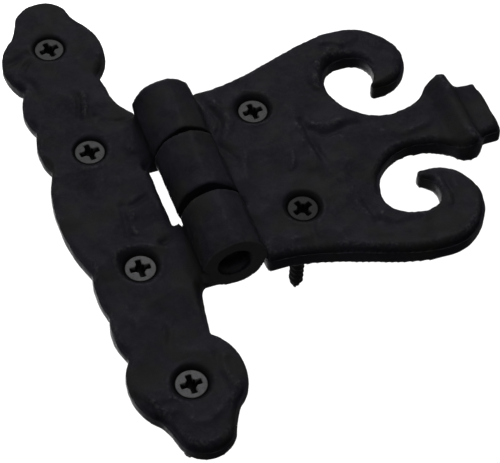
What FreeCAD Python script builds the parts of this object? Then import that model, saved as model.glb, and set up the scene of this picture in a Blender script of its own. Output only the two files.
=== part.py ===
"""Wrought-look surface hinge for a door: a tall scalloped leaf for the frame, a scrolled strap leaf
for the door, one pin and six countersunk wood screws.

Millimetres. The pin runs along Z. The backs of both leaves lie on the plane Y = 0 and their fronts
face -Y. The origin is the middle of the frame leaf, on its back. Places are given as (u, v, out): u
is the distance from the frame leaf's row of screws across to the strap, towards -X, v is the height,
along +Z, and out is the height above the backs. The half of a leaf below v = 0 is drawn like the one
above it and mirrored.
"""
import os
import math
import FreeCAD
import Part
from FreeCAD import Vector

os.makedirs("parts", exist_ok=True)

# ---- pin and knuckles
pin_at = 21.7                     # from the frame leaf's screws
pin_radius = 4.0
knuckle_radius = 8.4              # each knuckle touches the back plane
barrel_foot = -26.5               # where the lowest knuckle starts
lower_length = 17.2
lower_gap = 1.5
middle_length = 17.8
upper_gap = 2.5
upper_length = 17.4
neck_inset = 0.7                  # the outer necks stop short of their knuckles' far ends
neck_relief = 0.9                 # between the middle knuckle and the outer necks
root_fillet = 1.3                 # filling between a leaf's front and its knuckles
pin_fixed_clearance = 0.02        # the outer knuckles hold the pin
pin_running_clearance = 0.08      # the middle knuckle turns on it
pin_recess = 2.0                  # each end of the pin stands this far inside its knuckle
pin_dome = 0.8
mouth_flare = 1.0                 # the bore widens by this at the knuckles' outer ends
mouth_depth = 1.4

# ---- frame leaf
frame_thickness = 4.2
frame_slit = 1.4                  # between the leaf and the middle knuckle
lobe_at = 53.6                    # height of the lobe round each outer screw
lobe_notch = 8.8                  # from the lobe back to the notch below it
tip_reach = 21.8                  # from the lobe to the leaf's tip
middle_bulge = 14.7               # how far the middle swells away from the pin
scallop_valley = 11.3             # the notches between the scallops
# the two ends are forged by eye and differ a little: how far the tip leans to the strap, the lobe's
# two edges, the waist below it, the height of the two notches and how far the scallops bulge
frame_end = {
    "upper": {"tip": 0.5, "lobe": (-13.5, 14.9), "waist": 0.5, "notches": (18.4, 32.0), "bulge": 12.3},
    "lower": {"tip": 1.8, "lobe": (-13.9, 14.1), "waist": 0.0, "notches": (16.3, 30.6), "bulge": 12.9}}

# ---- strap leaf
strap_thickness = 5.0
root_clearance = 0.7              # between the strap's edge and the outer knuckles
root_half = 29.2                  # half the strap's height at its root
root_corner = 1.4
plate_length = 35.1               # from the root to the scroll openings
strap_offset = 0.5                # the strap sits this much above the frame leaf's middle
scroll_half = 38.8                # half the strap's height over its scrolls
stem_half = 5.9
stem_length = 25.3                # from the openings' near ends to the stem's flare
collar_half = 12.4
collar_lead = 0.6                 # the ridge rises this much before the stem flares out
collar_height = 2.8
collar_rise = 4.4
collar_crest = 1.8
collar_fall = 1.9
end_length = 6.5
end_half = 9.0
# how far each scroll spreads, how far round it curls, and the height of its opening
scroll = {"upper": {"spread": 0.6, "curl": 1.4, "opening": 27.2},
          "lower": {"spread": 0.1, "curl": 0.2, "opening": 28.9}}

# ---- screws
screw_length = 35.0
head_radius = 4.0
head_land = 0.2                   # the short straight edge of the head
head_clearance = 0.03
neck_radius = 1.75
neck_clearance = 0.35
thread_radius = 2.0
thread_root = 1.35
thread_pitch = 2.0
thread_length = 22.0
point_length = 4.0
cross_span = 5.6
cross_slot = 1.4
cross_depth = 2.0
core_radius = 1.5                 # the cross's round middle, at the face and at its floor
core_foot = 0.8

# ---- places that follow from the sizes above
slit_edge = pin_at - knuckle_radius - frame_slit
strap_root = pin_at + knuckle_radius + root_clearance
opening_at = strap_root + plate_length
flare_at = opening_at + stem_length
collar_foot = flare_at - collar_lead
collar_end = collar_foot + collar_rise + collar_crest + collar_fall
lower_knuckle = (barrel_foot, barrel_foot + lower_length)
middle_knuckle = (lower_knuckle[1] + lower_gap, lower_knuckle[1] + lower_gap + middle_length)
upper_knuckle = (middle_knuckle[1] + upper_gap, middle_knuckle[1] + upper_gap + upper_length)
slit = (middle_knuckle[0] - neck_relief * 3, middle_knuckle[1] + neck_relief)

# hole centres (u, v), how far each screw happens to be turned, in degrees, and how far its
# countersink lets its head below the leaf's front
frame_screws = {"upper": (1.0, lobe_at + 2.4, 0, 1.0), "upper_middle": (0.3, 20.0, 2, 1.0),
                "lower_middle": (-0.4, -19.6, -6, 0.6), "lower": (0.0, -lobe_at - 4.4, -12, 0.6)}
strap_screws = {"upper": (strap_root + 14.5, 16.1, -20, 1.0), "lower": (strap_root + 14.0, -18.8, -4, 1.0)}

UP = Vector(0, 0, 1)
OUT = Vector(0, -1, 0)


def at(u, v, out=0.0):
    return Vector(-u, -out, v)


def arc(a, b, c):
    return Part.Arc(at(*a), at(*b), at(*c)).toShape()


def line(a, b):
    return Part.makeLine(at(*a), at(*b))


def curve(*points):
    spline = Part.BSplineCurve()
    spline.interpolate([at(*p) for p in points])
    return spline.toShape()


def slab(upper_edges, lower_edges, thickness, offset=0.0):
    """A leaf's flat, from the edges of its two halves, each drawn with v upwards."""
    lower = [e.mirror(Vector(0, 0, 0), UP) for e in lower_edges]
    wire = Part.Wire(Part.__sortEdges__(upper_edges + lower))
    flat = Part.Face(wire).extrude(OUT * thickness)
    flat.translate(UP * offset)
    return flat


def prism(profile, span):
    """A bar along the pin's direction; the profile's corners are (u, out)."""
    ring = [at(u, span[0], out) for u, out in profile]
    return Part.Face(Part.makePolygon(ring + ring[:1])).extrude(UP * (span[1] - span[0]))


def round_bar(radius, span):
    """A cylinder on the pin's axis."""
    return Part.makeCylinder(radius, span[1] - span[0], at(pin_at, span[0], knuckle_radius), UP)


def turned(points, u, v):
    """Solid of revolution about the line through (u, v) square to the leaf; points are (r, out)."""
    ring = [Vector(-u + r, -out, v) for r, out in points]
    return Part.Face(Part.makePolygon(ring + ring[:1])).revolve(at(u, v), Vector(0, 1, 0), 360)


def neck(leaf_edge, span, thickness):
    """The flat of a leaf carried on under a knuckle to the pin's centre, with its filling."""
    side = math.copysign(1, pin_at - leaf_edge)
    rise = knuckle_radius - thickness - root_fillet
    meets = pin_at - side * math.sqrt(knuckle_radius ** 2 - rise ** 2)
    foot = meets - side * root_fillet * 1.4
    inside = leaf_edge - side
    return prism([(inside, 0), (inside, thickness), (foot, thickness),
                  (meets, thickness + root_fillet), (pin_at, thickness + root_fillet), (pin_at, 0)], span)


def countersunk_hole(u, v, sunk, thickness):
    """Clearance hole for a screw, with the cone that takes its head, as a solid to cut away."""
    hole = neck_radius + neck_clearance
    mouth = head_radius + head_land + sunk
    above = thickness + collar_height
    return turned([(0, -1), (hole, -1), (hole, thickness - mouth + hole), (mouth, thickness),
                   (mouth, above), (0, above)], u, v)


# ---- frame leaf

def frame_half(tip, lobe, waist, notches, bulge):
    """Half of the outline: tip, lobe and scallops."""
    top = lobe_at + tip_reach
    notch = lobe_at - lobe_notch
    right_tip, left_tip = (6.6 + tip, top - 4.9), (-7.0 + tip / 2, top - 5.2)
    right_lobe, right_notch = (10.1 + tip / 4, top - 10.8), (9.7, notch)
    left_lobe, left_notch = (-8.9, top - 11.4), (-10.4, notch)
    inner, outer = ((-scallop_valley, v) for v in notches)
    return [
        arc(left_tip, (tip, top), right_tip),
        curve(right_tip, (8.4 + tip / 2, top - 8.4), right_lobe),
        arc(right_lobe, (lobe[1], lobe_at), right_notch),
        curve(right_notch, (10.1 + waist, notch - 5.8), (10.9 + waist, notch - 10.3),
              (slit_edge + 0.5, notch - 13.6), (slit_edge + 2.6, notch - 16.0)),
        line((slit_edge + 2.6, notch - 16.0), (slit_edge + 2.6, 0)),
        curve(left_tip, (-7.8 + tip / 4, top - 8.6), left_lobe),
        arc(left_lobe, (lobe[0], lobe_at), left_notch),
        arc(left_notch, (-bulge, (notch + outer[1]) / 2), outer),
        arc(outer, (-bulge, (outer[1] + inner[1]) / 2), inner),
        curve(inner, (-middle_bulge + 1.1, inner[1] * 0.6), (-middle_bulge, 0)),
    ]


def make_frame_leaf():
    leaf = slab(frame_half(**frame_end["upper"]), frame_half(**frame_end["lower"]), frame_thickness)
    for neck_span in ((slit[1] - 1, upper_knuckle[1] - neck_inset),
                      (lower_knuckle[0] + neck_inset, slit[0] + 1)):
        leaf = leaf.fuse(neck(slit_edge, neck_span, frame_thickness))
    slit_end = pin_at + knuckle_radius
    gap = [(slit_edge, -1), (slit_end, -1), (slit_end, slit_end), (slit_edge, slit_end)]
    leaf = leaf.cut(prism(gap, slit))
    leaf = leaf.fuse([round_bar(knuckle_radius, knuckle) for knuckle in (lower_knuckle, upper_knuckle)])
    # the middle knuckle's own space is round, and runs on to the outer knuckles
    leaf = leaf.cut(round_bar(knuckle_radius + neck_relief / 2, (lower_knuckle[1], upper_knuckle[0])))
    leaf = leaf.removeSplitter()
    bore = pin_radius + pin_fixed_clearance
    leaf = leaf.cut(round_bar(bore, (lower_knuckle[0] - 1, upper_knuckle[1] + 1)))
    for end, away in ((upper_knuckle[1], 1), (lower_knuckle[0], -1)):
        leaf = leaf.cut(Part.makeCone(bore, bore + mouth_flare, mouth_depth,
                                      at(pin_at, end - away * mouth_depth, knuckle_radius), UP * away))
    for u, v, _, sunk in frame_screws.values():
        leaf = leaf.cut(countersunk_hole(u, v, sunk, frame_thickness))
    return leaf


# ---- strap leaf

def strap_half(spread, curl, opening):
    """Half of the outline: root, shoulder, scroll, stem, collar and blunt end."""
    scroll_top = (opening_at + 9.2, scroll_half + spread)
    scroll_far = (opening_at + 24.7, scroll_half - 12.6)
    tip_at = opening_at + 13.6 - curl * 0.7
    inner_turn, inner_start = (opening_at + 13.4, opening - 1.3), (opening_at + 3.7, opening - 1.4)
    stem_start = (opening_at + 13.9, stem_half)
    flare = (flare_at, collar_half - 1.7)
    collar_start = (flare_at + 2.4, collar_half - 0.1)
    far = collar_end + end_length
    return [
        line((strap_root, 0), (strap_root, root_half - root_corner)),
        arc((strap_root, root_half - root_corner), (strap_root + root_corner * 0.3, root_half - 0.4),
            (strap_root + root_corner, root_half)),
        curve((strap_root + root_corner, root_half), (opening_at - 23.9, 30.2),
              (opening_at - 8.9, scroll_half - 4.2 + spread * 0.6),
              (opening_at + 1.5, scroll_half - 1.1 + spread), scroll_top),
        arc(scroll_top, (opening_at + 19.6 + spread / 2, scroll_half - 3.6 + spread), scroll_far),
        arc(scroll_far, (opening_at + 21.5, 18.4 - curl / 2), (tip_at, 16.1 - curl)),
        arc((tip_at, 16.1 - curl), (tip_at - 1.0, 17.0 - curl), (tip_at - 0.2, 18.2 - curl)),
        arc((tip_at - 0.2, 18.2 - curl), (opening_at + 15.3, 22.8 - curl / 2), inner_turn),
        arc(inner_turn, (opening_at + 8.7, opening), inner_start),
        arc(inner_start, (opening_at + 0.9, 23.4), (opening_at, 17.9)),
        arc((opening_at, 17.9), (opening_at + 3.7, stem_half + 4.5), stem_start),
        curve(stem_start, (flare_at - 7.6, stem_half + 0.5), (flare_at - 3.6, stem_half + 1.9), flare),
        arc(flare, (flare_at + 1.1, collar_half - 0.7), collar_start),
        curve(collar_start, (flare_at + 4.8, collar_half), (collar_end - 0.8, end_half + 2.4),
              (collar_end + 0.3, end_half + 0.3)),
        curve((collar_end + 0.3, end_half + 0.3), (far - 3.5, end_half - 0.3), (far - 0.4, end_half)),
        arc((far - 0.4, end_half), (far - 0.1, end_half / 2), (far, 0)),
    ]


def strap_slab(thickness):
    upper, lower = (strap_half(**scroll[side]) for side in ("upper", "lower"))
    return slab(upper, lower, thickness, strap_offset)


def collar():
    """A ridge across the stem's flare, cut to the leaf's own outline."""
    foot, crest = strap_thickness, strap_thickness + collar_height
    top = collar_foot + collar_rise
    ridge = prism([(collar_foot, 0), (collar_foot, foot), (top, crest), (top + collar_crest, crest),
                   (collar_end, foot), (collar_end, 0)], (-collar_half * 2, collar_half * 2))
    return ridge.common(strap_slab(crest + 1))


def make_strap_leaf():
    leaf = strap_slab(strap_thickness)
    leaf = leaf.fuse([neck(strap_root, middle_knuckle, strap_thickness),
                      round_bar(knuckle_radius, middle_knuckle), collar()])
    leaf = leaf.removeSplitter()
    leaf = leaf.cut(round_bar(pin_radius + pin_running_clearance,
                              (middle_knuckle[0] - 1, middle_knuckle[1] + 1)))
    for u, v, _, sunk in strap_screws.values():
        leaf = leaf.cut(countersunk_hole(u, v, sunk, strap_thickness))
    return leaf


# ---- pin

def make_pin():
    """Plain pin with a shallow dome at each end."""
    low, high = lower_knuckle[0] + pin_recess, upper_knuckle[1] - pin_recess
    dome_radius = (pin_radius ** 2 + pin_dome ** 2) / (2 * pin_dome)
    pin = round_bar(pin_radius, (low, high))
    for end, away in ((high, 1), (low, -1)):
        ball = Part.makeSphere(dome_radius, at(pin_at, end - away * dome_radius, knuckle_radius))
        corner = round_bar(pin_radius + 1, tuple(sorted((end - away * pin_dome, end + away))))
        pin = pin.cut(corner.cut(ball))
    return pin


# ---- screws

def wood_screw(u, v, turn, sunk, thickness):
    """Countersunk wood screw with a cross recess, its head just below the leaf's front face."""
    face = thickness - sunk
    rim = head_radius - head_clearance
    tip = face - screw_length
    thread_top = tip + thread_length
    profile = [(0, face), (rim - 0.15, face), (rim, face - head_land / 2), (rim, face - head_land),
               (neck_radius, face - head_land - rim + neck_radius), (neck_radius, thread_top + 1.0)]
    turns = int((thread_length - point_length * 0.3) / thread_pitch)
    for i in range(turns):
        foot = thread_top - i * thread_pitch
        crest = foot - thread_pitch * 0.6
        taper = min(1.0, (crest - tip) / point_length)
        profile += [(thread_root * min(1.0, (foot - tip) / point_length), foot),
                    (thread_radius * taper, crest + 0.1), (thread_radius * taper, crest - 0.1)]
    foot = thread_top - turns * thread_pitch
    profile += [(thread_root * (foot - tip) / point_length, foot), (0, tip)]
    inward = OUT * -1
    core = Part.makeCone(core_radius, core_foot, cross_depth, at(u, v, face), inward)
    screw = turned(profile, u, v).cut(core)
    for quarter in (0, 90):
        half, floor = cross_span / 2, face - cross_depth
        wing = [at(u - half, v, face + 1), at(u + half, v, face + 1), at(u + half, v, face),
                at(u + cross_slot, v, floor), at(u - cross_slot, v, floor), at(u - half, v, face)]
        blade = Part.Face(Part.makePolygon(wing + wing[:1])).extrude(UP * cross_slot)
        blade.translate(UP * (-cross_slot / 2))
        blade.rotate(at(u, v), inward, turn + quarter)
        screw = screw.cut(blade)
    return screw


pieces = {"frame_leaf": make_frame_leaf(), "strap_leaf": make_strap_leaf(), "hinge_pin": make_pin()}
for place, (u, v, turn, sunk) in frame_screws.items():
    pieces["frame_screw_" + place] = wood_screw(u, v, turn, sunk, frame_thickness)
for place, (u, v, turn, sunk) in strap_screws.items():
    pieces["strap_screw_" + place] = wood_screw(u, v, turn, sunk, strap_thickness)

for name, shape in pieces.items():
    if len(shape.Solids) != 1 or not shape.isValid():
        raise SystemExit("%s is %d solids" % (name, len(shape.Solids)))
    solid = shape.Solids[0]
    solid.exportStep("parts/%s.step" % name)
    print(name, round(solid.Volume, 1), "mm3")
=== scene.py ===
"""Wrought-look door hinge: blackened, hammered iron leaves on one pin, with six steel wood screws.

Places on the leaves are (u, v, out) in millimetres, as in the CAD source: u across from the frame
leaf's screws to the strap, v up along the pin, and out from the leaves' backs to their fronts.
"""
import math

import bmesh
import bpy
import numpy as np
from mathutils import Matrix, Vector, noise


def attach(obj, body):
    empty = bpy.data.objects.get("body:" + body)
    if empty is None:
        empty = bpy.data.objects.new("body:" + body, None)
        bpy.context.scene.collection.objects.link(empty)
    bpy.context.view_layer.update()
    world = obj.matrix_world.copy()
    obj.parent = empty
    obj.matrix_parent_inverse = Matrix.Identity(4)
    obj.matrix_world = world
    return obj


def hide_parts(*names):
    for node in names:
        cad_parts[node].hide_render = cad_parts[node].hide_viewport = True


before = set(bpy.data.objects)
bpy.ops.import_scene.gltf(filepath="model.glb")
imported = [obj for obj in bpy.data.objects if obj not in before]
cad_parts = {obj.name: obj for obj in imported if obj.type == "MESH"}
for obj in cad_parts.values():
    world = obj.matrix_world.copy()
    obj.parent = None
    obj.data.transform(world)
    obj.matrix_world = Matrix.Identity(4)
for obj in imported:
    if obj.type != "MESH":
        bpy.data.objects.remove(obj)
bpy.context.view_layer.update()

MM = 0.001
VOXEL = 0.5                        # size of the leaves' mesh
LEAN_ROUNDS = 13                   # rounds of averaging that say how near an edge is
SOFTENING = 11                     # rounds of smoothing on the leaves' edges
SOFT_BACK, SOFT_KNUCKLE = 0.16, 0.14   # share of that smoothing on the back's edges and the knuckles
FILLING = 70                       # rounds of smoothing on the creases beside the knuckles
WEAR_ROUNDS = 6                    # rounds of averaging that say which points stand out
ROLL = 5.0                         # how far the leaves' upper edges are hammered down
SKIN = 0.28                        # how far the rough side walls stand proud of the solid
FLATS, FLAT_TURN, FLAT_DEPTH = 8, 0.096, 3.0   # round each knuckle
MOUTH_FLARE = 1.8                  # how far the upper mouth of the bore opens towards the back
KNUCKLE_REACH, BORE_REACH = 0.6, 0.8   # how near a point is to count as on a knuckle or in a bore
CREASE_REACH = (4.2, 1.8)          # where the filling of a crease starts, and where it is full
ROLL_PAST_RIM = (1.6, 5.0)         # the same for hammering down, away from a countersink's rim
LIT_END_REACH = 3.2                  # how deep from its end an outer knuckle's end face may lie, for the painted highlight on it

# sizes that follow the solids, in millimetres; the heads are a hair smaller, and the pin's upper end
# sits 1.8 mm deeper in its bore
PIN_AT, PIN_OUT = 21.7, 8.4
PIN_RADIUS = 4.0
KNUCKLE_RADIUS = 8.4
FRAME_BORE, STRAP_BORE = 4.02, 4.08
FRAME_FRONT, STRAP_FRONT = 4.2, 5.0
LOWER_KNUCKLE, MIDDLE_KNUCKLE, UPPER_KNUCKLE = (-26.5, -9.3), (-7.8, 10.0), (12.5, 29.9)
PIN_ENDS = (-24.5, 26.1)
PIN_SIDES = 64
HOLE_RADIUS = 2.1
HEAD, RIM_LAND, RIM_GAP = 3.97, 0.2, 0.23   # a screw's head, its straight edge, the room round it
NECK = 1.75
THREAD, THREAD_ROOT = 2.0, 1.35     # radii of its crest and its root
PITCH, THREAD_LENGTH, POINT = 2.0, 22.0, 4.0
SCREW_LENGTH = 35.0
WING, SLOT, RECESS = 2.8, 1.4, 2.0 # the cross: the reach of its wings, their width and their depth
CORE, CORE_FOOT = 1.5, 0.8         # the round middle of the cross, at the face and at its floor
CROWN, FACE_DROP = 0.10, 0.1       # the face of a head: its dome, and how far it lies below the edge
COLUMNS = 16                       # of a screw's mesh, per quarter turn
SHANK_TONE = 0.16                  # how bright the shank's steel is, against the face's
# each screw's place, its turn in degrees, how far its head is sunk, and how bright its steel is
FRAME_SCREWS = {"upper": (1.0, 56.0, 0, 1.0, 0.90), "upper_middle": (0.3, 20.0, 2, 1.0, 0.86),
                "lower_middle": (-0.4, -19.6, -6, 0.6, 0.60), "lower": (0.0, -58.0, -12, 0.6, 0.48)}
STRAP_SCREWS = {"upper": (45.3, 16.1, -20, 1.0, 0.24), "lower": (44.8, -18.8, -4, 1.0, 0.60)}


# ---- numbers

def smoothstep(low, high, x):
    """0 at low and 1 at high, easing in and out; low may be the larger."""
    t = np.clip((x - low) / (high - low), 0, 1)
    return t * t * (3 - 2 * t)


def perlin(points, scale, seed=0.0):
    """Smooth noise, about -1 to 1, with features about scale millimetres across."""
    return np.array([noise.noise(Vector(p)) for p in points / scale + seed]) * 1.6


def cells(points, scale, seed=0.0):
    """Squared distance to the nearest of a scatter of points: shallow bowls that meet in ridges."""
    return np.array([noise.voronoi(Vector(p))[0][0] for p in points / scale + seed]) ** 2


def along(points, path):
    """Distance of each (u, v) from a path of straight strokes."""
    best = np.full(len(points), 1e9)
    for a, b in zip(path, path[1:] or path):       # a path of one point is a round dent
        a, b = np.array(a, float), np.array(b, float)
        reach = (b - a) @ (b - a)
        t = np.clip((points - a) @ (b - a) / reach, 0, 1) if reach else np.zeros(len(points))
        best = np.minimum(best, np.linalg.norm(points - (a + t[:, None] * (b - a)), axis=1))
    return best


# ---- the marks that the hammer left on the fronts: a path, half its width and its height

FRAME_MARKS = [
    ([(-13.6, -54.1), (-9.4, -55.6), (-5.8, -55.6)], 1.1, -0.5),
    ([(-6.8, -52.5), (-8.9, -43.0)], 1.1, -0.35),
    ([(1.4, -31.5), (4.7, -40.0)], 1.1, 0.4),
    ([(0.0, -31.0), (2.6, -40.0)], 0.8, -0.35),
    ([(3.2, -28.0), (5.0, -30.0)], 1.0, -0.4),
    ([(6.8, -28.4), (11.0, -27.3)], 1.0, -0.4),
    ([(10.5, -17.5), (14.5, -22.0)], 1.7, 0.4),
    ([(-6.3, -6.3)], 3.6, -0.4),
    ([(1.2, 0.0), (1.6, 10.5)], 0.8, -0.35),
    ([(3.4, 2.0), (3.7, 9.5)], 1.2, 0.3),
    ([(3.2, 0.5), (8.4, -0.5)], 0.8, -0.35),
    ([(7.4, 14.7), (14.2, 11.5)], 1.0, -0.45),
    ([(-0.5, 29.0), (0.5, 44.0)], 1.4, -0.3),
    ([(-7.6, 63.0), (2.1, 66.7), (9.5, 64.0)], 1.4, 0.35),
    ([(11.0, 52.5), (10.0, 61.0)], 1.2, 0.35),
    ([(9.2, 52.0), (8.2, 63.0)], 1.0, -0.25),
    ([(-12.8, 54.6), (-8.6, 65.0)], 1.0, -0.35),
    ([(-4.0, 33.0), (-7.5, 36.0)], 1.6, -0.3),
    ([(-6.0, 10.0), (-4.5, 15.0)], 1.3, 0.3)]
STRAP_MARKS = [
    ([(33.4, -27.5), (33.9, -5.0)], 0.9, -0.4),
    ([(35.8, -25.0), (36.2, -12.6)], 1.0, 0.25),
    ([(54.0, -10.5), (55.2, -2.0), (54.0, 9.5)], 1.1, -0.4),
    ([(52.0, -8.0), (52.6, 4.0)], 1.8, 0.3),
    ([(56.7, -6.5), (63.0, -4.2), (70.4, -4.7)], 0.9, -0.45),
    ([(57.8, -8.0), (69.0, -7.0)], 1.5, 0.35),
    ([(63.4, -21.5), (66.2, -27.5), (69.3, -32.5)], 1.1, 0.4),
    ([(69.0, -34.7), (74.6, -32.0)], 0.9, -0.35),
    ([(73.0, -35.0), (80.0, -35.5)], 1.8, 0.3),
    ([(84.0, -34.0), (88.0, -25.0)], 1.5, 0.35),
    ([(78.3, 15.4), (82.0, 19.5), (81.2, 26.0)], 1.0, 0.4),
    ([(84.2, 20.0), (82.6, 27.5)], 0.9, -0.35),
    ([(60.4, 18.0), (62.5, 25.5)], 1.0, -0.35),
    ([(65.0, 23.5), (68.5, 27.5)], 1.2, 0.3),
    ([(45.2, 22.0), (44.0, 26.0)], 0.8, -0.3),
    ([(40.0, 24.5), (57.5, 29.5), (73.0, 33.5)], 1.5, 0.2),
    ([(47.0, -3.0), (46.0, 4.0)], 0.9, 0.3),
    ([(76.0, -1.0), (86.0, 0.5)], 1.6, 0.3)]


def relief(points, marks, seed):
    """Height of the hammered front above the flat, for points (u, v)."""
    flat = np.column_stack([points, np.full(len(points), seed)])
    warp = np.column_stack([perlin(flat, 9.0, k) for k in (3.1, 7.7)])
    bent = flat + np.column_stack([warp * 2.2, np.zeros(len(points))])
    height = 1.25 * cells(bent, 12.0) - 0.30 + 0.20 * perlin(flat, 6.5, 1.3)
    rough = smoothstep(-0.1, 0.7, perlin(flat, 12.0, 6.6))
    height += rough * (0.36 * cells(bent, 5.0, 9.3) + 0.08 * perlin(flat, 2.4, 5.9))
    uneven = 1.3 * (1 + 0.6 * perlin(flat, 4.0, 8.8))
    for path, width, rise in marks:
        height += rise * uneven * np.exp(-(along(bent[:, :2], path) / (1.1 * width)) ** 2)
    return height


# ---- iron leaves

def remeshed(node, name):
    """A fresh, even mesh of a CAD node's solid, in a new object."""
    shape = bmesh.new()
    shape.from_mesh(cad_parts[node].data)
    bmesh.ops.remove_doubles(shape, verts=shape.verts, dist=1e-6)
    rough = bpy.data.meshes.new(name)
    shape.to_mesh(rough)
    shape.free()
    piece = bpy.data.objects.new(name, rough)
    bpy.context.scene.collection.objects.link(piece)
    voxels = piece.modifiers.new("even", "REMESH")
    voxels.mode, voxels.voxel_size = "VOXEL", VOXEL * MM
    graph = bpy.context.evaluated_depsgraph_get()
    even = bpy.data.meshes.new_from_object(piece.evaluated_get(graph))
    piece.modifiers.clear()
    piece.data = even
    bpy.data.meshes.remove(rough)
    return piece


def read(what, field, width):
    """A field of a mesh's vertices, normals or edges, a row for each."""
    data = np.zeros(len(what) * width, np.float32 if field != "vertices" else np.int32)
    what.foreach_get(field, data)
    return data.reshape(-1, width)


def places(mesh):
    """Vertices as (u, v, out) in millimetres."""
    co = read(mesh.vertices, "co", 3).astype(float) / MM
    return np.column_stack([-co[:, 0], co[:, 2], -co[:, 1]])


def put(mesh, uvo):
    """Move the vertices to (u, v, out) in millimetres."""
    co = np.column_stack([-uvo[:, 0], -uvo[:, 2], uvo[:, 1]]) * MM
    mesh.vertices.foreach_set("co", co.astype(np.float32).ravel())
    mesh.update()


def outward(mesh):
    """Vertex normals as (u, v, out)."""
    n = read(mesh.vertex_normals, "vector", 3).astype(float)
    return np.column_stack([-n[:, 0], n[:, 2], -n[:, 1]])


def averaged(values, links, count):
    """Each row's mean over its neighbours."""
    a, b = links[:, 0], links[:, 1]
    total = np.column_stack([np.bincount(a, column[b], count) + np.bincount(b, column[a], count)
                             for column in values.T])
    number = np.bincount(a, minlength=count) + np.bincount(b, minlength=count)
    return total / np.maximum(number, 1)[:, None]


def mark(mesh, name, values):
    """Store a number at each vertex, for the material to read."""
    made = mesh.attributes.new(name, "FLOAT", "POINT")
    made.data.foreach_set("value", values.astype(np.float32))


def sink_radius(sunk):
    """The rim of a countersink that takes a screw's head down by sunk."""
    return HEAD + RIM_GAP + sunk


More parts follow.
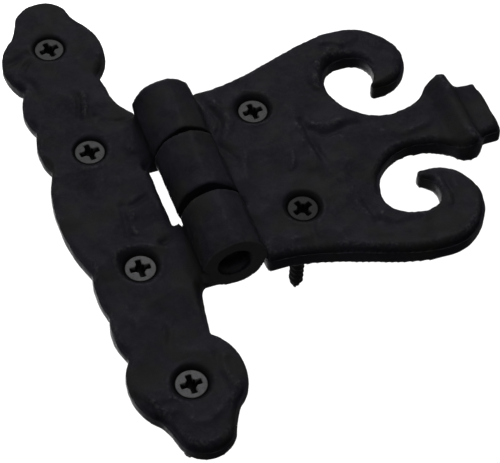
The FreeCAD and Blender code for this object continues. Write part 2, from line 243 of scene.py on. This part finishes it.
class Leaf:
    """A leaf's mesh, the regions that its forging works on, and the steps of the forging. Its back,
    bore and countersinks stay where the CAD has them, but for the flare at the bore's upper mouth."""

    def __init__(self, node, name, front, knuckles, bore, screws):
        self.front, self.knuckles, self.bore, self.screws = front, knuckles, bore, screws
        self.piece = remeshed(node, name)
        self.mesh = self.piece.data
        self.links = read(self.mesh.edges, "vertices", 2)
        self.p = p = places(self.mesh)
        self.count = len(p)

        to_pin = p[:, [0, 2]] - (PIN_AT, PIN_OUT)
        self.pin_distance = np.linalg.norm(to_pin, axis=1)
        self.away = to_pin / np.maximum(self.pin_distance, 1e-6)[:, None]
        self.turn = np.arctan2(to_pin[:, 1], to_pin[:, 0])
        in_span = np.zeros(self.count, bool)
        for low, high in knuckles:
            in_span |= (p[:, 1] > low - KNUCKLE_REACH) & (p[:, 1] < high + KNUCKLE_REACH)
        self.barrel = in_span & (self.pin_distance < KNUCKLE_RADIUS + KNUCKLE_REACH)
        self.in_bore = self.barrel & (self.pin_distance < bore + BORE_REACH)
        self.root = smoothstep(KNUCKLE_RADIUS - 0.5, KNUCKLE_RADIUS + 3.0, self.pin_distance)

        side = -1 if PIN_AT > p[:, 0].mean() else 1
        self.own_side = in_span * (to_pin[:, 0] * side > 0) * ~self.in_bore
        self.crease = np.zeros(self.count)

        self.past_rim = np.full(self.count, 1e9)
        for u, v, _, sunk, _ in screws.values():
            to_rim = np.hypot(p[:, 0] - u, p[:, 1] - v) - sink_radius(sunk)
            self.past_rim = np.minimum(self.past_rim, to_rim)
        self.off_holes = smoothstep(-0.2, 1.4, self.past_rim)

        # which way the surface leans away, a few millimetres round each point
        self.lean = outward(self.mesh)
        for _ in range(LEAN_ROUNDS):
            self.lean = averaged(self.lean, self.links, self.count)

    def smooth(self, share, rounds):
        """Draw each point towards the middle of its neighbours, by its own share."""
        for _ in range(rounds):
            centre = averaged(self.p, self.links, self.count)
            self.p += (centre - self.p) * 0.5 * share[:, None]

    def soften(self):
        """Round the front's edges, less those that face down the pin, and a little the back's."""
        near_front = smoothstep(self.front - 2.4, self.front - 0.8, self.p[:, 2])
        share = SOFT_BACK + (1 - SOFT_BACK) * near_front
        share *= 1 - 0.6 * smoothstep(0.05, 0.35, -self.lean[:, 1])
        share[self.barrel] = SOFT_KNUCKLE
        share *= self.off_holes
        share[self.in_bore] = 0
        self.smooth(share, SOFTENING)

    def fill_creases(self):
        """Fill the corner where a knuckle rises from its own leaf."""
        from_corner = np.hypot(self.pin_distance - KNUCKLE_RADIUS, self.p[:, 2] - self.front)
        self.crease = self.own_side * smoothstep(*CREASE_REACH, from_corner)
        self.smooth(self.crease, FILLING)
        put(self.mesh, self.p)

    def hammer(self, marks, seed):
        """Dent the front, hammer down the edges that face up the pin, and roughen the side walls."""
        p, facing = self.p, outward(self.mesh)
        is_front = smoothstep(0.35, 0.85, facing[:, 2])
        is_front = is_front * smoothstep(self.front - 2.0, self.front - 0.5, p[:, 2])
        on_leaf = is_front * self.off_holes * ~self.barrel
        p[:, 2] += relief(p[:, :2], marks, seed) * on_leaf * self.root
        rolled = np.clip(self.lean[:, 1] - 0.04, 0, 0.45) * smoothstep(*ROLL_PAST_RIM, self.past_rim)
        p[:, 2] -= ROLL * (rolled * on_leaf * self.root)
        side = (1 - on_leaf) * ~self.barrel * smoothstep(0.3, 1.2, p[:, 2]) * self.off_holes
        grain = SKIN + perlin(p, 5.0, 2.2) * 0.16 + perlin(p, 2.0, 8.4) * 0.05
        p += facing * (grain * side * self.root)[:, None]

    def flatten(self, seed):
        """A few flats round each knuckle, with light dents."""
        p = self.p
        flat_angle = 2 * math.pi / FLATS
        twisted = self.turn + FLAT_TURN + 0.08 * np.sin(p[:, 1] / 5 + seed)
        flats = 1 - np.cos(twisted % flat_angle - flat_angle / 2)
        shell = self.barrel & (self.pin_distance > KNUCKLE_RADIUS - 1.6)
        dent = -FLAT_DEPTH * (flats.max() - flats)
        dent = dent + perlin(p, 4.0, 4.4) * 0.12 + perlin(p, 1.6, 6.1) * 0.04
        dent = np.minimum(dent, 0.05) * shell * smoothstep(2.0, 5.0, p[:, 2]) * (1 - self.crease)
        p[:, 0] += self.away[:, 0] * dent
        p[:, 2] += self.away[:, 1] * dent

    def saw(self, askew):
        """True the knuckles' ends, then grow those in askew into their gap on one side of the pin:
        where along the pin, the side of it (1 towards the strap), and how far."""
        p = self.p
        for end in (end for knuckle in self.knuckles for end in knuckle):
            p[self.barrel & (np.abs(p[:, 1] - end) < 0.4), 1] = end
        for end, side, growth in askew:
            at_end = self.barrel & (np.abs(p[:, 1] - end) < 0.7)
            p[at_end, 1] += growth * smoothstep(-0.1, 0.9, side * np.cos(self.turn[at_end]))

    def true_bore(self):
        """Round the bore again, and open its upper mouth towards the back."""
        p, mouth = self.p, UPPER_KNUCKLE[1]
        on_wall = self.in_bore & (np.abs(self.pin_distance - self.bore) < 0.45)
        flare = MOUTH_FLARE * np.maximum(0, -self.away[:, 1]) * smoothstep(mouth - 3, mouth, p[:, 1])
        wall = (PIN_AT, PIN_OUT) + self.away * (self.bore + flare)[:, None]
        p[on_wall, 0], p[on_wall, 2] = wall[on_wall, 0], wall[on_wall, 1]

    def true_sinks(self):
        """Cone the countersinks again, and give the painted shade in and round each."""
        p, dark = self.p, np.zeros(self.count)
        for u, v, _, sunk, _ in self.screws.values():
            rim = sink_radius(sunk)
            spoke = p[:, :2] - (u, v)
            reach = np.maximum(np.linalg.norm(spoke, axis=1), 1e-6)
            wall = np.clip(p[:, 2] - self.front + rim, HOLE_RADIUS, rim)
            near = (np.abs(reach - wall) < 0.4) & (p[:, 2] > 0.3) & (p[:, 2] < self.front - 0.3)
            p[near, :2] = (u, v) + spoke[near] * (wall / reach)[near, None]
            # painted shade: darkest on the cone next to the head, fading out just past the rim
            shade = 0.4 + 0.6 * smoothstep(HEAD + 0.8, HEAD + 0.2, reach)
            dark = np.maximum(dark, shade * smoothstep(rim + 0.3, rim - 0.05, reach))
        return dark

    def finish(self, dark):
        """Set the back flat, and mark the worn ridges, the painted highlight on the outer knuckle ends
        and the painted shade in the sinks.
        """
        p = self.p
        p[:, 2] = np.maximum(p[:, 2], 0)
        put(self.mesh, p)
        blurred = p
        for _ in range(WEAR_ROUNDS):
            blurred = averaged(blurred, self.links, self.count)
        facing = outward(self.mesh)
        proud = ((p - blurred) * facing).sum(axis=1)
        worn = smoothstep(0.02, 0.22, proud) * np.where(self.barrel, 0.35, 1.0)
        worn *= 1 - 0.8 * smoothstep(0.05, 0.25, self.lean[:, 1])
        # painted highlight: the end faces of the outer knuckles are marked to be drawn lighter,
        # standing in for light
        above, below = UPPER_KNUCKLE[1] - LIT_END_REACH, LOWER_KNUCKLE[0] + LIT_END_REACH
        outer_end = (p[:, 1] > above) | (p[:, 1] < below)
        painted_end_light = self.barrel * outer_end * smoothstep(0.3, 0.8, np.abs(facing[:, 1]))
        mark(self.mesh, "worn", worn)
        mark(self.mesh, "painted_end_light", painted_end_light)
        mark(self.mesh, "painted_sink_shade", dark)
        self.mesh.shade_smooth()


def forge(node, name, body, front, knuckles, askew, bore, screws, marks, seed):
    """A leaf with softened edges, hammered front and faceted knuckles."""
    leaf = Leaf(node, name, front, knuckles, bore, screws)
    leaf.soften()
    leaf.fill_creases()
    leaf.hammer(marks, seed)
    leaf.flatten(seed)
    leaf.saw(askew)
    leaf.true_bore()
    leaf.finish(leaf.true_sinks())
    piece = leaf.piece
    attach(piece, body)
    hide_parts(node)
    return piece


# ---- turned pieces

def ringed(name, rings):
    """A closed mesh from rings of points (x, y, z) in millimetres, each with the same count; the first
    and the last shrink to a point."""
    count = len(rings[0])
    points = [rings[0].mean(axis=0)] + [q for ring in rings for q in ring] + [rings[-1].mean(axis=0)]
    faces = []
    for k in range(count):
        nxt = (k + 1) % count
        faces.append((0, 1 + nxt, 1 + k))
        for i in range(len(rings) - 1):
            base = 1 + i * count
            faces.append((base + k, base + nxt, base + count + nxt, base + count + k))
        last = 1 + (len(rings) - 1) * count
        faces.append((last + k, last + nxt, len(points) - 1))
    mesh = bpy.data.meshes.new(name)
    mesh.from_pydata([tuple(q * MM) for q in points], [], faces)
    shape = bmesh.new()
    shape.from_mesh(mesh)
    bmesh.ops.recalc_face_normals(shape, faces=shape.faces)
    shape.to_mesh(mesh)
    shape.free()
    mesh.shade_smooth()
    piece = bpy.data.objects.new(name, mesh)
    bpy.context.scene.collection.objects.link(piece)
    return piece


def cross_angles(radius):
    """Angles round a ring of the head, with a pair at each wall of the cross, and how deep the cross
    is cut at each."""
    inside = min(math.pi / 4 - 0.08, math.asin(min(1.0, SLOT / 2 / max(radius, 0.05))))
    step = min(0.06 / max(radius, 0.05), 0.05)
    cut = RECESS * min(1.0, max(0.0, (WING - radius) / (WING - SLOT)))
    middle = min(cut, RECESS * min(1.0, max(0.0, (CORE - radius) / (CORE - CORE_FOOT))))
    quarter, depth = [], []
    for k in range(4):
        quarter.append(inside * k / 3)
        depth.append(cut)
    for k in range(9):
        t = k / 8
        quarter.append((inside + step) * (1 - t) + (math.pi / 2 - inside - step) * t)
        depth.append(middle)
    for k in range(3):
        quarter.append(math.pi / 2 - inside * (1 - k / 3))
        depth.append(cut)
    even = [math.pi / 2 * k / COLUMNS for k in range(COLUMNS)]
    ease = float(smoothstep(WING + 0.1, WING + 0.9, radius))
    quarter = [q * (1 - ease) + e * ease for q, e in zip(quarter, even)]
    angles = np.array([q + math.pi / 2 * n for n in range(4) for q in quarter])
    return angles, np.array(depth * 4)


def screw(node, body, u, v, turn, sunk, tone, front):
    """Countersunk wood screw: cross recess, cone, plain neck and a helical thread to its point."""
    turned = math.radians(turn)
    face = front - sunk
    tip = face - SCREW_LENGTH
    start = tip + THREAD_LENGTH
    rings = []

    def ring(radii, outs, angles):
        rings.append(np.column_stack([-u + radii * np.cos(angles), -outs, v + radii * np.sin(angles)]))

    in_cross, past_cross = np.linspace(0.12, WING + 0.1, 30), np.linspace(3.05, HEAD - 0.15, 6)
    for radius in np.concatenate([in_cross, past_cross]):
        angles, depth = cross_angles(radius)
        crown = CROWN * (1 - (radius / HEAD) ** 2)
        ring(np.full(len(angles), radius), face - FACE_DROP + crown - depth, angles - turned)
    even = np.arange(4 * COLUMNS) * 2 * math.pi / (4 * COLUMNS) - turned
    land = face - RIM_LAND
    lathe = [(HEAD - 0.06, face - 0.13), (HEAD, face - 0.18), (HEAD, land - 0.04)]
    lathe += [(HEAD + (NECK - HEAD) * t, land - (HEAD - NECK) * t) for t in np.linspace(0.06, 0.94, 6)]
    lathe += [(NECK + 0.05, land - HEAD + NECK - 0.1), (NECK, land - HEAD + NECK - 0.5)]
    lathe += [(NECK, out) for out in np.linspace(face - 5.0, start + 1.2, 4)]
    for radius, out in lathe:
        ring(np.full(len(even), radius), np.full(len(even), out), even)
    for out in np.arange(start + 1.0, tip + 0.15, -PITCH / 10):
        phase = ((start - out) / PITCH - even / (2 * math.pi)) % 1
        tooth = np.clip((1 - np.abs(phase - 0.5) * 2 - 0.45) / 0.5, 0, 1)
        fade = float(smoothstep(0.0, PITCH, start + 1.0 - out))
        point = min(1.0, (out - tip) / POINT) ** 0.85
        core = NECK + (THREAD_ROOT - NECK) * fade
        ring((core + (THREAD - THREAD_ROOT) * tooth * fade) * point, np.full(len(even), out), even)
    piece = ringed(node + "_steel", rings)
    # each screw's own tone on the face of the head; painted shade makes the cross and the head's
    # underside black; the shank gets a dim tone of its own
    points = places(piece.data)
    below = face - points[:, 2]
    steel_tone_and_shade = tone * smoothstep(0.34, 0.12, below)
    steel_tone_and_shade *= smoothstep(HEAD - 0.04, HEAD - 0.24, np.hypot(points[:, 0] - u, points[:, 1] - v))
    steel_tone_and_shade += SHANK_TONE * smoothstep(2.2, 3.0, below)
    mark(piece.data, "steel_tone_and_shade", steel_tone_and_shade)
    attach(piece, body)
    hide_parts(node)
    return piece


def pin():
    """Plain pin with its ends dressed to a shallow dome."""
    angles = np.arange(PIN_SIDES) * 2 * math.pi / PIN_SIDES
    low, high = PIN_ENDS
    dome = [(0.3, 0.0), (1.2, 0.05), (2.1, 0.16), (2.9, 0.34), (3.45, 0.54), (3.8, 0.78), (3.95, 1.05),
            (PIN_RADIUS, 1.4)]
    outline = [(r, low + drop) for r, drop in dome]
    outline += [(PIN_RADIUS, height) for height in np.linspace(low + 3, high - 3, 12)]
    outline += [(r, high - drop) for r, drop in reversed(dome)]
    rings = [np.column_stack([-PIN_AT + r * np.cos(angles), -PIN_OUT + r * np.sin(angles),
                              np.full(PIN_SIDES, height)]) for r, height in outline]
    piece = ringed("hinge_pin_steel", rings)
    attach(piece, "frame_side")
    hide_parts("hinge_pin")
    return piece


# ---- materials

class Nodes:
    """Short names for making and joining a material's nodes."""

    def __init__(self, name):
        self.material = bpy.data.materials.new(name)
        self.material.use_nodes = True
        self.tree = self.material.node_tree
        self.shader = self.tree.nodes["Principled BSDF"]
        self.where = self.add("ShaderNodeTexCoord").outputs["Object"]

    def add(self, kind, **settings):
        node = self.tree.nodes.new(kind)
        for key, value in settings.items():
            setattr(node, key, value)
        return node

    def join(self, source, socket):
        if isinstance(source, (int, float, tuple)):
            socket.default_value = source
        else:
            self.tree.links.new(source, socket)

    def noise(self, scale, detail=4.0, roughness=0.6, stretch=(1, 1, 1)):
        """Noise with features about scale millimetres across."""
        spread = self.add("ShaderNodeMapping")
        spread.inputs["Scale"].default_value = stretch
        self.join(self.where, spread.inputs["Vector"])
        made = self.add("ShaderNodeTexNoise")
        made.inputs["Scale"].default_value = 1 / (scale * MM)
        made.inputs["Detail"].default_value = detail
        made.inputs["Roughness"].default_value = roughness
        self.join(spread.outputs["Vector"], made.inputs["Vector"])
        return made.outputs["Fac"]

    def attribute(self, name):
        return self.add("ShaderNodeAttribute", attribute_name=name).outputs["Fac"]

    def span(self, value, low, high, start=0.0, end=1.0):
        """value from low..high to start..end."""
        made = self.add("ShaderNodeMapRange")
        ends = {"From Min": low, "From Max": high, "To Min": start, "To Max": end}
        for socket, number in ends.items():
            made.inputs[socket].default_value = number
        self.join(value, made.inputs["Value"])
        return made.outputs["Result"]

    def blend(self, share, first, second):
        """A mix of two colours."""
        made = self.add("ShaderNodeMix", data_type="RGBA")
        self.join(share, made.inputs["Factor"])
        self.join(first, made.inputs[6])
        self.join(second, made.inputs[7])
        return made.outputs[2]

    def combine(self, first, second, how="ADD"):
        """Two numbers put together."""
        made = self.add("ShaderNodeMath", operation=how)
        self.join(first, made.inputs[0])
        self.join(second, made.inputs[1])
        return made.outputs[0]

    def bump(self, height, depth):
        """Bump depth millimetres high."""
        made = self.add("ShaderNodeBump")
        made.inputs["Distance"].default_value = depth * MM
        self.join(height, made.inputs["Height"])
        self.join(made.outputs["Normal"], self.shader.inputs["Normal"])


def black_iron():
    """Black paint baked on cast iron: satin, with a fine orange-peel grain, broad cloudy patches and a
    trace of bare metal on the ridges; painted highlight on the outer knuckle ends, painted shade in
    the countersinks."""
    n = Nodes("black_iron_hammered")
    cloud, grain = n.noise(14.0, 3.0), n.noise(1.1, 5.0, 0.65)
    dark, pale = (0.0074, 0.0070, 0.0106, 1), (0.0134, 0.0127, 0.0188, 1)
    colour = n.blend(n.span(cloud, 0.35, 0.65), dark, pale)
    colour = n.blend(n.span(grain, 0.42, 0.68, 0.0, 0.5), colour, (0.0190, 0.0182, 0.0250, 1))
    worn = n.combine(n.attribute("worn"), n.span(n.noise(0.9, 4.0), 0.45, 0.65), "MULTIPLY")
    colour = n.blend(worn, colour, (0.0340, 0.0340, 0.0370, 1))
    tint = n.span(n.noise(9.0, 3.0), 0.50, 0.64, 0.0, 0.85)
    colour = n.blend(tint, colour, (0.0142, 0.0146, 0.0112, 1))
    # painted highlight: the outer knuckles' end faces drawn lighter
    colour = n.blend(n.attribute("painted_end_light"), colour, (0.0380, 0.0375, 0.0400, 1))
    # painted shade: near black in the countersinks and in a thin ring round each head
    colour = n.blend(n.attribute("painted_sink_shade"), colour, (0.0012, 0.0012, 0.0015, 1))
    n.join(colour, n.shader.inputs["Base Color"])
    rough = n.span(n.noise(3.2, 4.0), 0.3, 0.7, 0.54, 0.70)
    rough = n.combine(rough, n.span(worn, 0.0, 1.0, 0.0, -0.08))
    n.join(rough, n.shader.inputs["Roughness"])
    n.shader.inputs["Specular IOR Level"].default_value = 0.14
    n.shader.inputs["Specular Tint"].default_value = (0.86, 0.84, 1.0, 1)
    height = n.combine(n.noise(0.55, 3.0), n.combine(n.noise(2.4, 3.0), 2.2, "MULTIPLY"))
    n.bump(height, 0.05)
    return n.material


def screw_steel():
    """Blackened steel, rubbed grey on the face of the head, with painted shade turning the cross and
    the head's underside black.
    """
    n = Nodes("screw_steel_satin")
    cloud = n.noise(1.6, 4.0)
    colour = n.blend(n.span(cloud, 0.3, 0.7), (0.100, 0.100, 0.104, 1), (0.170, 0.171, 0.176, 1))
    speck = n.span(n.noise(0.35, 3.0), 0.56, 0.70)
    colour = n.blend(speck, colour, (0.040, 0.040, 0.042, 1))
    # painted shade: near black where the face's tone is absent, in the cross and under the head
    colour = n.blend(n.attribute("steel_tone_and_shade"), (0.004, 0.004, 0.004, 1), colour)
    n.join(colour, n.shader.inputs["Base Color"])
    n.shader.inputs["Metallic"].default_value = 0.4
    n.shader.inputs["Specular IOR Level"].default_value = 0.1
    n.join(n.span(cloud, 0.3, 0.7, 0.48, 0.64), n.shader.inputs["Roughness"])
    n.bump(n.noise(0.28, 3.0), 0.012)
    return n.material


def pin_steel():
    """Blackened bar, scratched along its length by turning in the knuckles."""
    n = Nodes("pin_steel_blackened")
    streak = n.noise(0.8, 4.0, stretch=(1, 1, 0.12))
    colour = n.blend(n.span(streak, 0.35, 0.65), (0.016, 0.016, 0.018, 1), (0.036, 0.036, 0.038, 1))
    n.join(colour, n.shader.inputs["Base Color"])
    n.shader.inputs["Metallic"].default_value = 0.5
    n.join(n.span(n.noise(1.4, 4.0), 0.3, 0.7, 0.40, 0.58), n.shader.inputs["Roughness"])
    n.bump(n.noise(0.4, 3.0), 0.02)
    return n.material


# ---- the hinge

iron = black_iron()
steel = screw_steel()
leaves = [
    forge("frame_leaf", "frame_leaf_forged", "frame_side", FRAME_FRONT,
          (LOWER_KNUCKLE, UPPER_KNUCKLE), [(LOWER_KNUCKLE[1], -1, 1.0), (LOWER_KNUCKLE[1], 1, 0.5)],
          FRAME_BORE, FRAME_SCREWS, FRAME_MARKS, 0.0),
    forge("strap_leaf", "strap_leaf_forged", "door_side", STRAP_FRONT,
          (MIDDLE_KNUCKLE,), [(MIDDLE_KNUCKLE[1], 1, 1.5)],
          STRAP_BORE, STRAP_SCREWS, STRAP_MARKS, 3.7)]
for leaf in leaves:
    leaf.data.materials.clear()
    leaf.data.materials.append(iron)
for places_of, prefix, body, front in ((FRAME_SCREWS, "frame_screw_", "frame_side", FRAME_FRONT),
                                       (STRAP_SCREWS, "strap_screw_", "door_side", STRAP_FRONT)):
    for place, settings in places_of.items():
        screw(prefix + place, body, *settings, front).data.materials.append(steel)
pin().data.materials.append(pin_steel())


# ---- floor, light and camera

FLOOR_AT, FLOOR_REACH = -0.95, 6
HINGE = (-0.046, -0.004, 0.0)      # where the lamps point
ROOM, WALL = 0.08, 1.0             # how bright the room is, and the wall that the camera sees
CAMERA_AT = (0.07392, -0.34558, 0.25742)
CAMERA_TURN = (-53.5623, -20.6350, -177.6845)
FOCAL_LENGTH, SENSOR = 122.4, 36.0

corners = ((-1, -1), (1, -1), (1, 1), (-1, 1))
floor_mesh = bpy.data.meshes.new("floor")
floor_mesh.from_pydata([(x * FLOOR_REACH, y * FLOOR_REACH, FLOOR_AT) for x, y in corners],
                       [], [(0, 1, 2, 3)])
floor = bpy.data.objects.new("floor", floor_mesh)
bpy.context.scene.collection.objects.link(floor)
pale = bpy.data.materials.new("pale_floor")
pale.use_nodes = True
floor_shader = pale.node_tree.nodes["Principled BSDF"]
floor_shader.inputs["Base Color"].default_value = (0.90, 0.90, 0.90, 1)
floor_shader.inputs["Roughness"].default_value = 0.9
floor_mesh.materials.append(pale)
floor.visible_glossy = False


def area_light(name, place, width, power):
    """A round lamp turned to the hinge, out of the camera's sight."""
    light = bpy.data.lights.new(name, "AREA")
    light.shape, light.size, light.energy = "DISK", width, power
    lamp = bpy.data.objects.new(name, light)
    lamp.location = place
    lamp.rotation_euler = (Vector(HINGE) - Vector(place)).to_track_quat("-Z", "Y").to_euler()
    lamp.visible_camera = False
    bpy.context.scene.collection.objects.link(lamp)


area_light("key", (-0.30, -0.80, -0.75), 0.3, 2.5)
area_light("fill", (0.25, -0.95, 0.45), 0.9, 1.2)
area_light("back", (0.2, 1.1, -0.7), 1.0, 12.0)
area_light("left_side", (1.0, 0.6, 0.0), 0.6, 3.0)
area_light("right_side", (-1.2, 0.6, 0.0), 0.6, 1.0)

# an overhead lamp that is flagged off the hinge and keeps the floor white
overhead = bpy.data.lights.new("overhead", "SUN")
overhead.energy, overhead.angle = 3.4, math.radians(60)
overhead_lamp = bpy.data.objects.new("overhead", overhead)
bpy.context.scene.collection.objects.link(overhead_lamp)
floor_only = bpy.data.collections.new("floor_only")
floor_only.objects.link(floor)
overhead_lamp.light_linking.receiver_collection = floor_only

world = bpy.data.worlds.new("studio")
world.use_nodes = True
background = world.node_tree.nodes["Background"]
background.inputs["Color"].default_value = (1, 1, 1, 1)
# the room is dim, but the wall that the camera sees behind the hinge is white
seen = world.node_tree.nodes.new("ShaderNodeLightPath")
level = world.node_tree.nodes.new("ShaderNodeMapRange")
level.inputs["To Min"].default_value, level.inputs["To Max"].default_value = ROOM, WALL
world.node_tree.links.new(seen.outputs["Is Camera Ray"], level.inputs["Value"])
world.node_tree.links.new(level.outputs["Result"], background.inputs["Strength"])
bpy.context.scene.world = world

lens = bpy.data.cameras.new("camera")
lens.sensor_width, lens.lens = SENSOR, FOCAL_LENGTH
camera = bpy.data.objects.new("camera", lens)
camera.location = CAMERA_AT
camera.rotation_euler = [math.radians(a) for a in CAMERA_TURN]
bpy.context.scene.collection.objects.link(camera)
bpy.context.scene.camera = camera
bpy.context.scene.view_settings.view_transform = "Standard"
